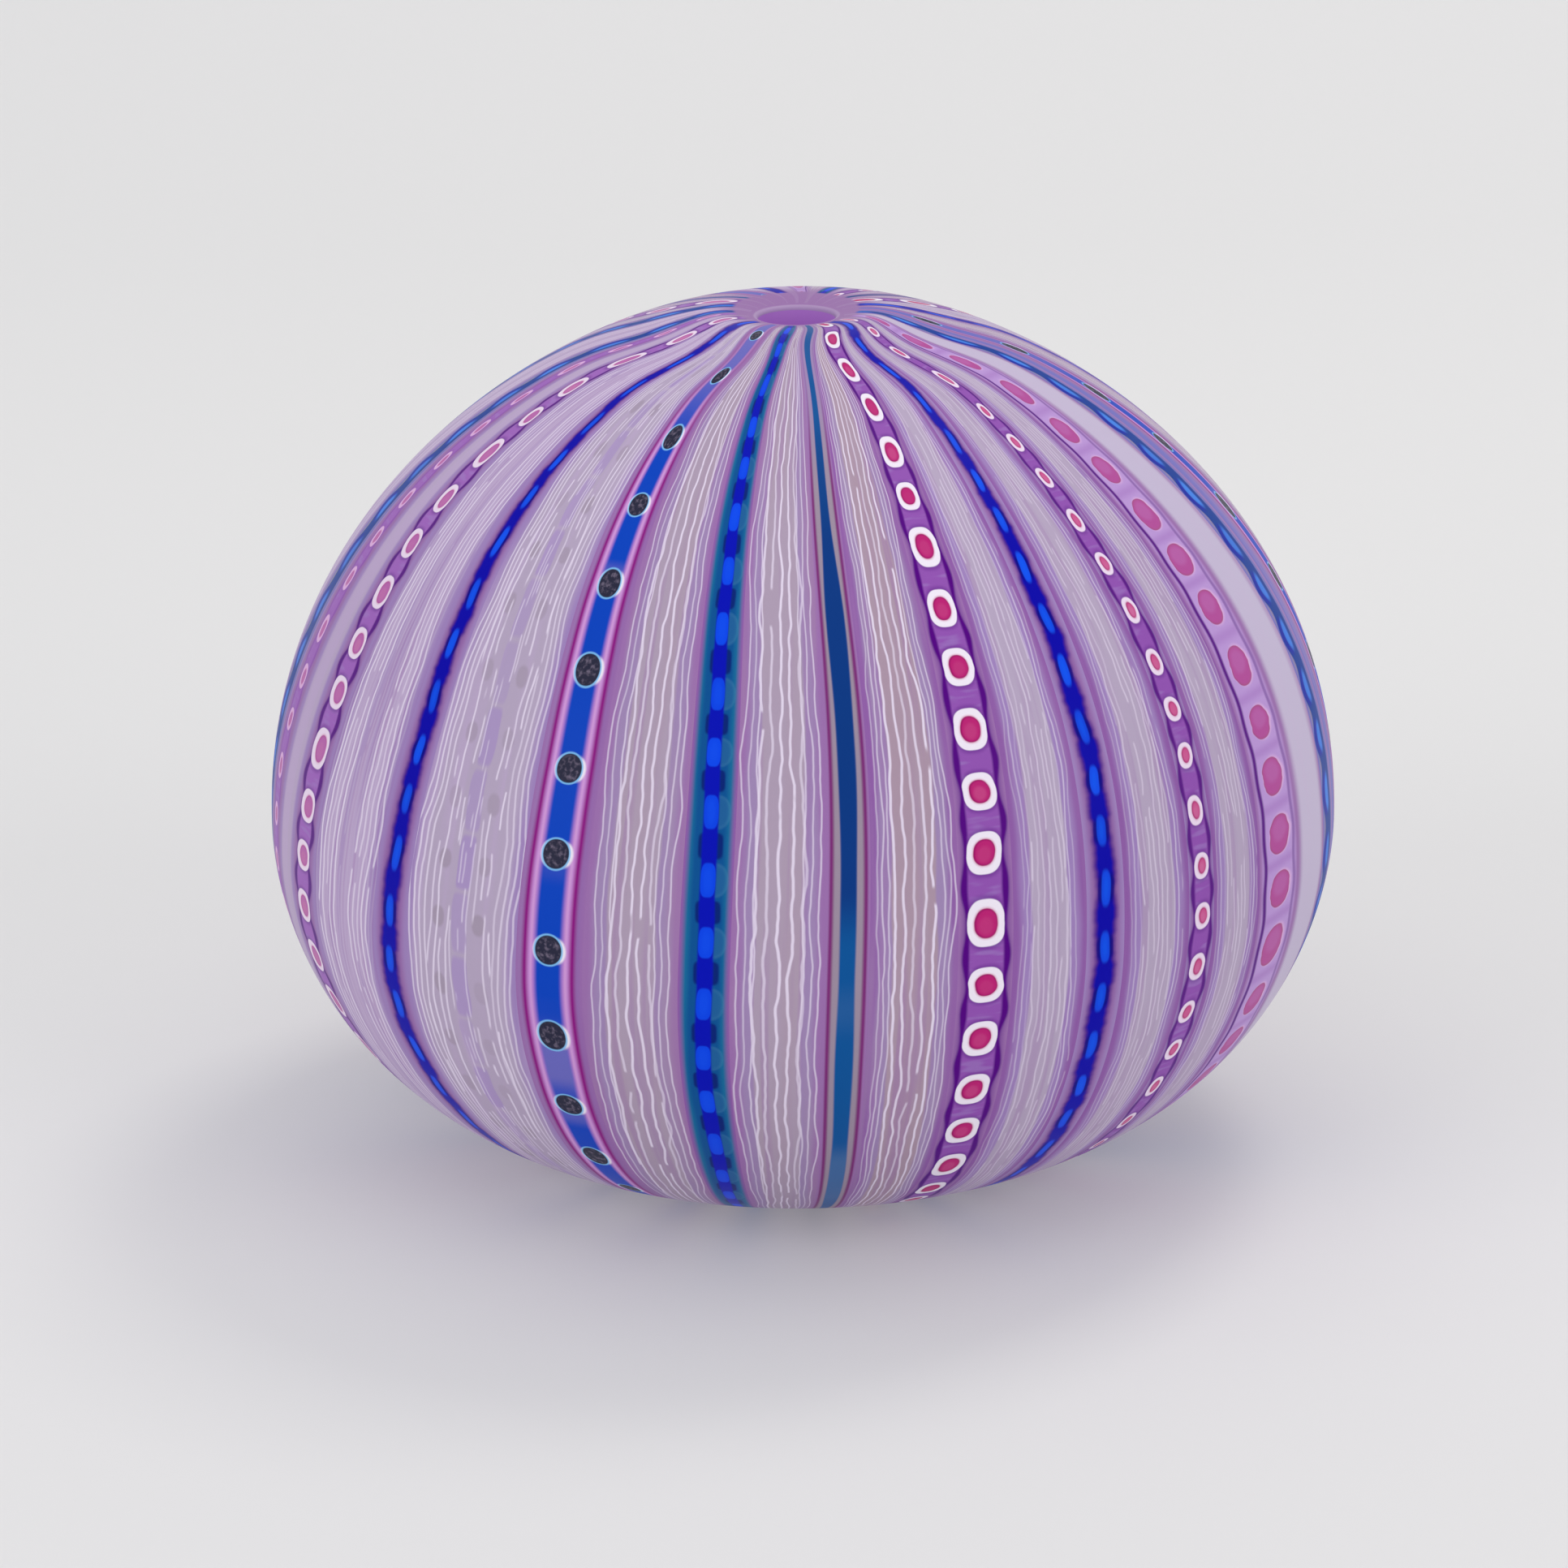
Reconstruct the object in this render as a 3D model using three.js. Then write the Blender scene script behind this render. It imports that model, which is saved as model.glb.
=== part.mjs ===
// A squat round glass vessel shaped like a sea urchin shell, blown in one piece.
// Millimetres, +Z up. The origin is the middle of the flat spot that it rests on.
import * as THREE from 'three';

// Driving dimensions
const WIDTH = 120;                  // across the widest part
const FOOT_RADIUS = 18;             // ground flat spot under the vessel
const SIDE_WALL = 4.5;              // glass at the widest part
const FLOOR_WALL = 6.5;             // glass under the hollow
const CROWN_WALL = 7;               // glass over the hollow, before the top sinks
const MOUTH_RADIUS = 4;             // narrow round hole in the top
const LIP_ROUND = 1.4;              // rounding of the mouth's upper edge
const NECK_ROUND = 1.5;             // rounding of the mouth's lower edge, inside
const TOP_DIP = 2.7;                // how far the top sinks towards the mouth
const TOP_DIP_RADIUS = 9;           // how wide that sinking is

// The outline is two half superellipses that meet at the widest part:
// (r / radius) ^ power.across + (z / height) ^ power.up = 1
const RADIUS = WIDTH / 2;
const ABOVE = { height: 0.99 * RADIUS, across: 1.766, up: 2.083 };
const BELOW = { height: 0.655 * RADIUS, across: 3, up: 1.84 };

// Facets
const AROUND = 56;
const CROWN_STEPS = 17;             // outside, above the widest part
const BOWL_STEPS = 12;              // outside, below it
const INSIDE_STEPS = 10;            // inside, above and below it
const ROUND_STEPS = 4;

// How high one half of the outline stands at a radius.
function heightAt(half, radius, r) {
  return half.height * (1 - (r / radius) ** half.across) ** (1 / half.up);
}

// The angle at which one half of the outline has a radius.
function angleAt(half, radius, r) {
  return Math.acos((r / radius) ** (half.across / 2));
}

// Points of one half of the outline between two angles; side is 1 above and -1 below.
function halfOutline(half, radius, side, from, to, steps) {
  const points = [];
  for (let i = 0; i <= steps; i += 1) {
    const angle = from + (to - from) * i / steps;
    const r = radius * Math.cos(angle) ** (2 / half.across);
    const z = side * half.height * Math.sin(angle) ** (2 / half.up);
    points.push(new THREE.Vector2(r, z));
  }
  return points;
}

// How far the top is sunk at a radius: a smooth dimple, deepest on the axis.
function sunkAt(r) {
  return TOP_DIP * Math.exp(-((r / TOP_DIP_RADIUS) ** 2));
}

// Points of a quarter circle, or part of one, round a centre.
function arc(r, z, round, from, to) {
  const points = [];
  for (let i = 0; i <= ROUND_STEPS; i += 1) {
    const angle = from + (to - from) * i / ROUND_STEPS;
    points.push(new THREE.Vector2(r + round * Math.cos(angle), z + round * Math.sin(angle)));
  }
  return points;
}

// The vessel: its section runs from the middle of the foot, up the outside, over the lip,
// down through the mouth and round the hollow to the middle of the inside floor.
function vesselSection() {
  const lowest = -heightAt(BELOW, RADIUS, FOOT_RADIUS);
  const bowl = halfOutline(BELOW, RADIUS, -1, angleAt(BELOW, RADIUS, FOOT_RADIUS), 0, BOWL_STEPS);

  const lipRadius = MOUTH_RADIUS + LIP_ROUND;
  const crown = halfOutline(ABOVE, RADIUS, 1, 0, angleAt(ABOVE, RADIUS, lipRadius), CROWN_STEPS);
  for (const point of crown) point.y -= sunkAt(point.x);
  const lipTop = crown.at(-1).y;
  const lip = arc(lipRadius, lipTop - LIP_ROUND, LIP_ROUND, Math.PI / 2, Math.PI);

  const insideRadius = RADIUS - SIDE_WALL;
  const insideAbove = { ...ABOVE, height: ABOVE.height - CROWN_WALL };
  const insideBelow = { ...BELOW, height: BELOW.height - FLOOR_WALL };
  const neckRadius = MOUTH_RADIUS + NECK_ROUND;
  const neckHeight = heightAt(insideAbove, insideRadius, neckRadius) + NECK_ROUND;
  const neck = arc(neckRadius, neckHeight, NECK_ROUND, Math.PI, 1.5 * Math.PI);
  const neckAngle = angleAt(insideAbove, insideRadius, neckRadius);
  const ceiling = halfOutline(insideAbove, insideRadius, 1, neckAngle, 0, INSIDE_STEPS);
  const floor = halfOutline(insideBelow, insideRadius, -1, 0, Math.PI / 2, INSIDE_STEPS);

  const section = [
    new THREE.Vector2(0, lowest),
    ...bowl,
    ...crown.slice(1),
    ...lip.slice(1),
    ...neck,
    ...ceiling.slice(1),
    ...floor.slice(1, -1),
    new THREE.Vector2(0, -insideBelow.height),
  ];
  return section.map((point) => new THREE.Vector2(point.x, point.y - lowest));
}

const geometry = new THREE.LatheGeometry(vesselSection(), AROUND);
geometry.rotateX(Math.PI / 2);

// Satin-etched blown glass in lilac, seen as an even colour.
const satinGlass = new THREE.MeshStandardMaterial({ color: 0xa890bc, roughness: 0.45, metalness: 0 });

const vessel = new THREE.Mesh(geometry, satinGlass);
vessel.name = 'vessel';

const group = new THREE.Group();
group.add(vessel);

export default group;
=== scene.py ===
"""A blown glass vessel shaped like a sea urchin shell, built up from fused canes of coloured glass."""

import math
from typing import NamedTuple

import bmesh
import bpy
import numpy as np
from bpy.props import FloatProperty, FloatVectorProperty, IntProperty, PointerProperty
from mathutils import Matrix, Vector


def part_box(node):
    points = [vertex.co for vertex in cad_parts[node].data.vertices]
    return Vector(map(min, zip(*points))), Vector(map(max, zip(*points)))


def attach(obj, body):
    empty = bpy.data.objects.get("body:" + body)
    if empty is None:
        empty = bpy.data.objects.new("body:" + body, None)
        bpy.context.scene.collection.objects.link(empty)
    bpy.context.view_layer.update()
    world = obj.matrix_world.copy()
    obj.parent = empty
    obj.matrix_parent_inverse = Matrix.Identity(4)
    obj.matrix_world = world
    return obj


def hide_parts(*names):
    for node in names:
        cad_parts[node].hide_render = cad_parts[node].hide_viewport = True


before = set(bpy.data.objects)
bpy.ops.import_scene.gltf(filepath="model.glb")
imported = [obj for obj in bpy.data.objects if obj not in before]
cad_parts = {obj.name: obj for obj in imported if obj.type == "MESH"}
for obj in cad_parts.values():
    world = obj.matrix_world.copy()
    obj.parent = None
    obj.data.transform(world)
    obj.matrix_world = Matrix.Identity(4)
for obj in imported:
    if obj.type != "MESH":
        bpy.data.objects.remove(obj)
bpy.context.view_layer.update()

bl_info = {
    "name": "Cane glass vessel",
    "version": (1, 0, 0),
    "blender": (4, 5, 0),
    "location": "3D View > Sidebar > Vessel",
    "description": "Builds a satin glass vessel with stripes of coloured cane around its packed solid",
    "category": "Object",
}

MM = 0.001
BODY = "root"
NODE = "vessel"
LOWEST_CORNER, HIGHEST_CORNER = (np.array(corner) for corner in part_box(NODE))
RADIUS = float(HIGHEST_CORNER[0] - LOWEST_CORNER[0]) / 2
FOOT_LEVEL = float(LOWEST_CORNER[2])


# ---------------------------------------------------------------- the outline of the wall


class Half(NamedTuple):
    """Half of the outline: (r / radius) ^ across + (z / height) ^ up = 1."""

    height: float
    across: float
    up: float


class Bell(NamedTuple):
    """A bell curve: height exp(-((x - middle) / width) ^ 2)."""

    height: float
    middle: float
    width: float

    def at(self, x):
        """The height of the curve at x."""
        return self.height * np.exp(-(((x - self.middle) / self.width) ** 2))


ABOVE = Half(0.99 * RADIUS, 1.766, 2.083)
BELOW = Half(0.655 * RADIUS, 3.0, 1.84)
SIDE_WALL = 4.5 * MM
FLOOR_WALL = 6.5 * MM
CROWN_WALL = 7 * MM
FOOT_RADIUS = 18 * MM
MOUTH_RADIUS = 4.3 * MM
LIP_ROUND = 0.5 * MM
NECK_ROUND = 0.8 * MM
CROWN_DIP = Bell(2.7 * MM, 0, 9 * MM)
GATHER_BEHIND = 2.2 * MM
FINE_STEPS = 4000
ARC_POINTS = 12


def height_at(half, radius, r):
    """z = height (1 - (r / radius) ^ across) ^ (1 / up)."""
    return half.height * (1 - (r / radius) ** half.across) ** (1 / half.up)


def angle_at(half, radius, r):
    """The angle whose cosine is (r / radius) ^ (across / 2)."""
    return math.acos((r / radius) ** (half.across / 2))


def half_outline(half, radius, side, first_angle, last_angle):
    """r = radius cos(angle) ^ (2 / across), z = side height sin(angle) ^ (2 / up)."""
    angles = np.linspace(first_angle, last_angle, FINE_STEPS)
    r = radius * np.cos(angles).clip(0) ** (2 / half.across)
    z = side * half.height * np.sin(angles).clip(0) ** (2 / half.up)
    return np.stack([r, z], axis=1)


WIDEST_LEVEL = FOOT_LEVEL + height_at(BELOW, RADIUS, FOOT_RADIUS)
INSIDE_RADIUS = RADIUS - SIDE_WALL
INSIDE_ABOVE = ABOVE._replace(height=ABOVE.height - CROWN_WALL)
INSIDE_BELOW = BELOW._replace(height=BELOW.height - FLOOR_WALL)


def crown_outline(r_from, r_to):
    """The outside between two radii above the widest part, from the inner one outwards and down, with
    its top sunk by a bell curve."""
    first, last = (angle_at(ABOVE, RADIUS, r) for r in (r_from, r_to))
    path = half_outline(ABOVE, RADIUS, 1, first, last)
    path[:, 1] += WIDEST_LEVEL - CROWN_DIP.at(path[:, 0])
    return path


def outside_path(top_radius, bottom_radius):
    """Down the outside from a radius on the crown to a radius on the flat foot."""
    bowl = half_outline(BELOW, RADIUS, -1, 0, angle_at(BELOW, RADIUS, FOOT_RADIUS))
    bowl[:, 1] += WIDEST_LEVEL
    foot = np.linspace(bowl[-1], [bottom_radius, FOOT_LEVEL], FINE_STEPS // 4)
    return np.concatenate([crown_outline(top_radius, RADIUS), bowl[1:], foot[1:]])


def inside_path(top_radius, bottom_radius):
    """Down the wall of the hollow between the same two radii."""
    first = angle_at(INSIDE_ABOVE, INSIDE_RADIUS, top_radius)
    last = angle_at(INSIDE_BELOW, INSIDE_RADIUS, bottom_radius)
    upper = half_outline(INSIDE_ABOVE, INSIDE_RADIUS, 1, first, 0)
    lower = half_outline(INSIDE_BELOW, INSIDE_RADIUS, -1, 0, last)
    return np.concatenate([upper, lower[1:]]) + [0, WIDEST_LEVEL]


def lengths_along(path):
    """The running length of a path, which starts at 0."""
    steps = np.linalg.norm(np.diff(path, axis=0), axis=1)
    return np.concatenate([[0], np.cumsum(steps)])


def evenly(path, count):
    """The path at count + 1 points that are equally far apart along it, and their running length."""
    lengths = lengths_along(path)
    wanted = np.linspace(0, lengths[-1], count + 1)
    points = np.stack([np.interp(wanted, lengths, column) for column in path.T], axis=1)
    return points, wanted


def revolved(path, azimuth):
    """x = r sin(azimuth), y = -r cos(azimuth), z = z, for each row of the path and its azimuths."""
    r, z = path[:, :1], path[:, 1:]
    return np.stack([r * np.sin(azimuth), -r * np.cos(azimuth), z + 0 * azimuth], axis=-1)


# ---------------------------------------------------------------- the canes round the wall


class Cane(NamedTuple):
    """One cane: the glass it is made of, its width in degrees round the wall, and where along it the
    count of its marks starts, in mm."""

    kind: str
    width: float
    start: float = 0.0


FIRST_EDGE = -87.0
NARROW = 8.0
CANES = [
    Cane("sea_bead", 6.0, 3.0),
    Cane("deep_dot", 6.8, 4.0),
    Cane("pale", 5.3),
    Cane("pink_dot", 6.9, 2.7),
    Cane("fine_lines", 12.4),
    Cane("cobalt_bead", 5.2, 1.5),
    Cane("dashes", 14.3),
    Cane("slate_dot", 7.5, 1.2),
    Cane("mauve_lines", 10.0),
    Cane("teal_bead", 5.2, 2.0),
    Cane("mauve_lines", 9.4, 40),
    Cane("azure", 4.4),
    Cane("rose_lines", 9.0),
    Cane("red_dot", 5.8, 6.0),
    Cane("soft_lines", 8.3),
    Cane("cobalt_bead", 4.6, 3.0),
    Cane("soft_lines", 8.8, 40),
    Cane("small_dot", 3.8, 1.0),
    Cane("soft_lines", 8.2, 80),
    Cane("lilac_dot", 9.0, 3.4),
    Cane("milky", 9.4, 40),
    Cane("sea_bead", 5.4, 0.5),
    Cane("violet", 4.1),
    Cane("slate_dot", 7.5, 5.0),
    Cane("mauve_lines", 10.0, 80),
    Cane("cobalt_bead", 4.7, 4.0),
    Cane("dashes", 13.0, 40),
    Cane("red_dot", 5.8, 2.0),
    Cane("rose_lines", 9.6, 40),
    Cane("azure", 4.4, 40),
    Cane("mauve_lines", 9.4, 120),
    Cane("small_dot", 4.2, 3.0),
    Cane("soft_lines", 9.0, 120),
    Cane("teal_bead", 4.7, 5.0),
    Cane("mauve_lines", 9.8, 160),
    Cane("lilac_dot", 9.0, 1.0),
    Cane("pale", 8.6, 80),
    Cane("cobalt_bead", 4.7, 2.0),
    Cane("fine_lines", 10.2, 40),
    Cane("slate_dot", 7.5, 7.0),
    Cane("rose_lines", 10.0, 80),
    Cane("azure", 4.4, 80),
    Cane("mauve_lines", 9.4, 200),
    Cane("pink_dot", 5.8, 4.0),
    Cane("soft_lines", 8.8, 160),
    Cane("sea_bead", 5.4, 2.5),
    Cane("fine_lines", 14.3, 80),
]
EDGES = FIRST_EDGE + np.concatenate([[0], np.cumsum([cane.width for cane in CANES])])

# How the canes stray: degrees round the wall, against mm along it from the mouth.
WAVE = 0.35
WAVIER_AZIMUTH = -60
WAVIER = Bell(0.8, 0, 25)
WAVE_CREST = 69
WAVE_LENGTH = 62
TWIST = 1.6
TWIST_FROM = 85
TWIST_LENGTH = 45
SPREAD_AT_MOUTH = Bell(16, 6, 4)
SPREAD_BELOW_IT = Bell(-9, 16, 6)
PULL_AT_MOUTH = Bell(6, 6, 5)
SQUEEZE_AT_MOUTH = Bell(0.6, 5, 10)
LOST_AT_MOUTH = Bell(1, 5, 12)
EDGES_LOST = {"cobalt_bead": 0.45, "red_dot": 0.25, "pink_dot": 0.3, "small_dot": 0.25, "slate_dot": 0.05}
OTHER_EDGES_LOST = 0.1
UNEVEN_WAVES = ((0.3, 5.1), (0.25, 2.9))


def wander(azimuth, along):
    """How far the canes stray sideways, in degrees: a slow wave down the wall that is wider round one
    azimuth, a twist that grows with the square of the length past the widest part, and near the mouth
    a pull to one side that is the sum of a sine and a cosine of the azimuth."""
    off = (azimuth - WAVIER_AZIMUTH + 180) % 360 - 180
    wave = (WAVE + WAVIER.at(off)) * np.cos(2 * np.pi * (along - WAVE_CREST) / WAVE_LENGTH)
    twist = TWIST * ((along - TWIST_FROM).clip(0) / TWIST_LENGTH) ** 2
    spread = SPREAD_AT_MOUTH.at(along) + SPREAD_BELOW_IT.at(along)
    turn = math.radians(azimuth)
    return wave - twist + spread * math.sin(turn) + PULL_AT_MOUTH.at(along) * math.cos(turn)


def squeeze(number, along):
    """How far the edge before a cane moves, in degrees: near the mouth a narrow cane keeps more of its
    width than the band beside it, by a share that falls away as a bell curve."""
    before, after = CANES[number - 1].width, CANES[number % len(CANES)].width
    share = SQUEEZE_AT_MOUTH.at(along)
    if (before < NARROW) == (after < NARROW):
        return 0 * share
    return share * (before if before < NARROW else -after)


def marks_share(cane, along):
    """How much of its drawing a cane shows across its width: near the mouth a narrow cane shows less of
    its edges, by a share that falls away as a bell curve, so that its stripe stays wide."""
    lost = EDGES_LOST.get(cane.kind, OTHER_EDGES_LOST) if cane.width < NARROW else 0
    return 1 - lost * LOST_AT_MOUTH.at(along)


def unevenness(along, seed):
    """How unevenly the marks of a cane are spaced, in mm: the sum of amount sin(along / length + phase)
    over two waves, with phases drawn from the seed."""
    phases = np.random.default_rng(seed).uniform(0, 2 * np.pi, len(UNEVEN_WAVES))
    waves = zip(UNEVEN_WAVES, phases)
    return sum(amount * np.sin(along / length + phase) for (amount, length), phase in waves)


# ---------------------------------------------------------------- meshes


SHARP_ANGLE = math.radians(40)
WELD_DISTANCE = 0.0001 * MM


class Solid(NamedTuple):
    """The arrays of one closed mesh: points, four corners a face, glass a face, the map of marks for each
    corner, and for each point how far across the cane it lies."""

    points: np.ndarray
    faces: np.ndarray
    glass: np.ndarray
    mark_map: np.ndarray
    across: np.ndarray


def quads(grid, flip=False):
    """The four corners of each cell of a grid of point numbers, seen from the side that faces out."""
    corners = [grid[:-1, :-1], grid[1:, :-1], grid[1:, 1:], grid[:-1, 1:]]
    faces = np.stack(corners, axis=-1).reshape(-1, 4)
    return faces[:, ::-1] if flip else faces


def cane_solid(cane, number, sizes):
    """One cane as a closed solid, the full thickness of the wall. Its outer face is the outline carried
    from one edge's azimuth to the other's, its inner face is the hollow's outline over the same
    azimuths, and straight walls join the two."""
    rows = sizes.rows
    top, bottom = sizes.collar_radius, sizes.button_radius
    outer, lengths = evenly(outside_path(top, bottom), rows)
    inner, _ = evenly(inside_path(top, bottom), rows)
    along = (top + lengths) / MM

    columns = max(4, round(math.radians(cane.width) * RADIUS / sizes.facet))
    share = np.linspace(0, 1, columns + 1)
    left, right = (
        EDGES[i] + wander(EDGES[i], along) + squeeze(i, along) for i in (number, number + 1)
    )
    azimuth = np.radians(left[:, None] + (right - left)[:, None] * share)

    points = np.concatenate([revolved(path, azimuth).reshape(-1, 3) for path in (outer, inner)])
    grid = np.arange((rows + 1) * (columns + 1)).reshape(rows + 1, columns + 1)
    far = grid + grid.size
    outer_faces = quads(grid)
    hidden = [
        quads(far, flip=True),
        quads(np.stack([far[:, 0], grid[:, 0]], axis=1)),
        quads(np.stack([grid[:, -1], far[:, -1]], axis=1)),
        quads(np.stack([far[0], grid[0]], axis=0)),
        quads(np.stack([grid[-1], far[-1]], axis=0)),
    ]
    inner_faces = np.concatenate(hidden)
    faces = np.concatenate([outer_faces, inner_faces])
    glass = np.repeat([0, 1], [len(outer_faces), len(inner_faces)])

    half_width = math.radians(cane.width) * RADIUS / MM / 2
    u = half_width * (2 * share - 1) * marks_share(cane, along)[:, None]
    v = np.broadcast_to((along + unevenness(along, number))[:, None] - cane.start, grid.shape)
    marks = np.tile(np.stack([u, v], axis=-1).reshape(-1, 2), (2, 1))
    across = np.tile(np.broadcast_to(2 * share - 1, grid.shape).ravel(), 2)

    return Solid(points, faces, glass, marks[faces], across)


def write_mesh(name, solid, materials):
    """Put the arrays into a mesh, with smooth faces and sharp edges where its sides meet."""
    mesh = bpy.data.meshes.new(name)
    count = len(solid.faces)
    mesh.vertices.add(len(solid.points))
    mesh.loops.add(4 * count)
    mesh.polygons.add(count)
    mesh.vertices.foreach_set("co", solid.points.astype(np.float32).ravel())
    mesh.loops.foreach_set("vertex_index", solid.faces.astype(np.int32).ravel())
    mesh.polygons.foreach_set("loop_start", np.arange(0, 4 * count, 4, dtype=np.int32))
    mesh.polygons.foreach_set("material_index", solid.glass.astype(np.int32))
    for material in materials:
        mesh.materials.append(material)
    layer = mesh.uv_layers.new(name="Marks", do_init=False)
    layer.uv.foreach_set("vector", solid.mark_map.astype(np.float32).ravel())
    across = mesh.attributes.new("across", "FLOAT", "POINT")
    across.data.foreach_set("value", solid.across.astype(np.float32))
    mesh.update(calc_edges=True)
    mesh.shade_smooth()
    mesh.set_sharp_from_angle(angle=SHARP_ANGLE)
    return mesh


def write_ring(name, section, around, glasses, outer_count):
    """A closed section carried round the axis: its first faces are of the first glass, the rest of the
    second. If it starts and ends on the axis its ends are welded there; if not, it joins its start."""
    azimuth = np.linspace(0, 2 * np.pi, around + 1)
    points = revolved(section, np.broadcast_to(azimuth, (len(section), around + 1)))
    grid = np.arange(points[..., 0].size).reshape(points.shape[:2])
    if section[0, 0] > 0:
        grid = np.concatenate([grid, grid[:1]])
    mesh = bpy.data.meshes.new(name)
    mesh.from_pydata(points.reshape(-1, 3), [], quads(grid))
    for glass in glasses:
        mesh.materials.append(glass)
    second = np.arange(len(grid) - 1) >= outer_count
    mesh.polygons.foreach_set("material_index", np.repeat(second, around).astype(np.int32))
    shape = bmesh.new()
    shape.from_mesh(mesh)
    bmesh.ops.remove_doubles(shape, verts=shape.verts, dist=WELD_DISTANCE)
    bmesh.ops.recalc_face_normals(shape, faces=shape.faces)
    shape.to_mesh(mesh)
    shape.free()
    mesh.shade_smooth()
    mesh.set_sharp_from_angle(angle=SHARP_ANGLE)
    return mesh


def place_piece(name, mesh):
    """Put a finished mesh into the scene as a piece of the vessel."""
    piece = bpy.data.objects.new(name, mesh)
    bpy.context.scene.collection.objects.link(piece)
    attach(piece, BODY)
    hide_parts(NODE)


def arc(r, z, round_radius, first_angle, last_angle):
    """Points of part of a circle round a centre."""
    angles = np.linspace(first_angle, last_angle, ARC_POINTS)
    return np.stack([r + round_radius * np.cos(angles), z + round_radius * np.sin(angles)], axis=1)


def collar_section(collar_radius):
    """The closed section of the collar, over the crown to the lip, down the mouth and back under, and
    how many of its stretches lie outside the mouth."""
    lip_radius = MOUTH_RADIUS + LIP_ROUND
    crown = crown_outline(lip_radius, collar_radius)[::-1]
    top, _ = evenly(crown, 6)
    lip = arc(lip_radius, top[-1, 1] - LIP_ROUND, LIP_ROUND, math.pi / 2, math.pi)
    neck_radius = MOUTH_RADIUS + NECK_ROUND
    under = half_outline(
        INSIDE_ABOVE,
        INSIDE_RADIUS,
        1,
        angle_at(INSIDE_ABOVE, INSIDE_RADIUS, neck_radius),
        angle_at(INSIDE_ABOVE, INSIDE_RADIUS, collar_radius),
    )
    ceiling, _ = evenly(under + [0, WIDEST_LEVEL], 6)
    neck = arc(neck_radius, ceiling[0, 1] + NECK_ROUND, NECK_ROUND, math.pi, 1.5 * math.pi)
    return np.concatenate([top, lip[1:], neck, ceiling[1:]]), len(top) + len(lip) - 2


def button_section(button_radius):
    """The closed section of the button, out along the foot, up its edge and in over the hollow's floor,
    and how many of its stretches lie under the foot."""
    inner = half_outline(
        INSIDE_BELOW,
        INSIDE_RADIUS,
        -1,
        angle_at(INSIDE_BELOW, INSIDE_RADIUS, button_radius),
        math.pi / 2,
    )
    under = np.linspace([0, FOOT_LEVEL], [button_radius, FOOT_LEVEL], 9)
    over, _ = evenly(inner + [0, WIDEST_LEVEL], 8)
    over[-1, 0] = 0
    return np.concatenate([under, over]), len(under) - 1


# ---------------------------------------------------------------- glass


class Fade(NamedTuple):
    """How a glass gives way to the plain gather round the mouth: how far from the gather's middle that
    starts and is complete, in mm, and how much of the glass is lost there."""

    start: float
    end: float
    share: float


BAND_FADE = Fade(10.5, 6.7, 0.85)
STRIPE_FADE = Fade(7.3, 6.7, 1.0)
BEAD_FADE = Fade(7.2, 6.6, 1.0)
VIOLET_FADE = Fade(7.8, 6.7, 1.0)
ROSE_DOT_FADE = Fade(7.8, 6.8, 1.0)
FADE_DEPTH = 20 * MM
GLASS_IOR = 1.5
GRAIN_WIDTH = 0.4 * MM
GRAIN_DEPTH = 0.02 * MM
# Clouds in the glass, to the metre.
CLOUD_SCALE = 60
INNER_CLOUD_SCALE = 90


def linear(colour):
    """The linear colour of an sRGB hex value."""
    parts = [int(colour[i : i + 2], 16) / 255 for i in (1, 3, 5)]
    return [x / 12.92 if x <= 0.04045 else ((x + 0.055) / 1.055) ** 2.4 for x in parts]


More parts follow.
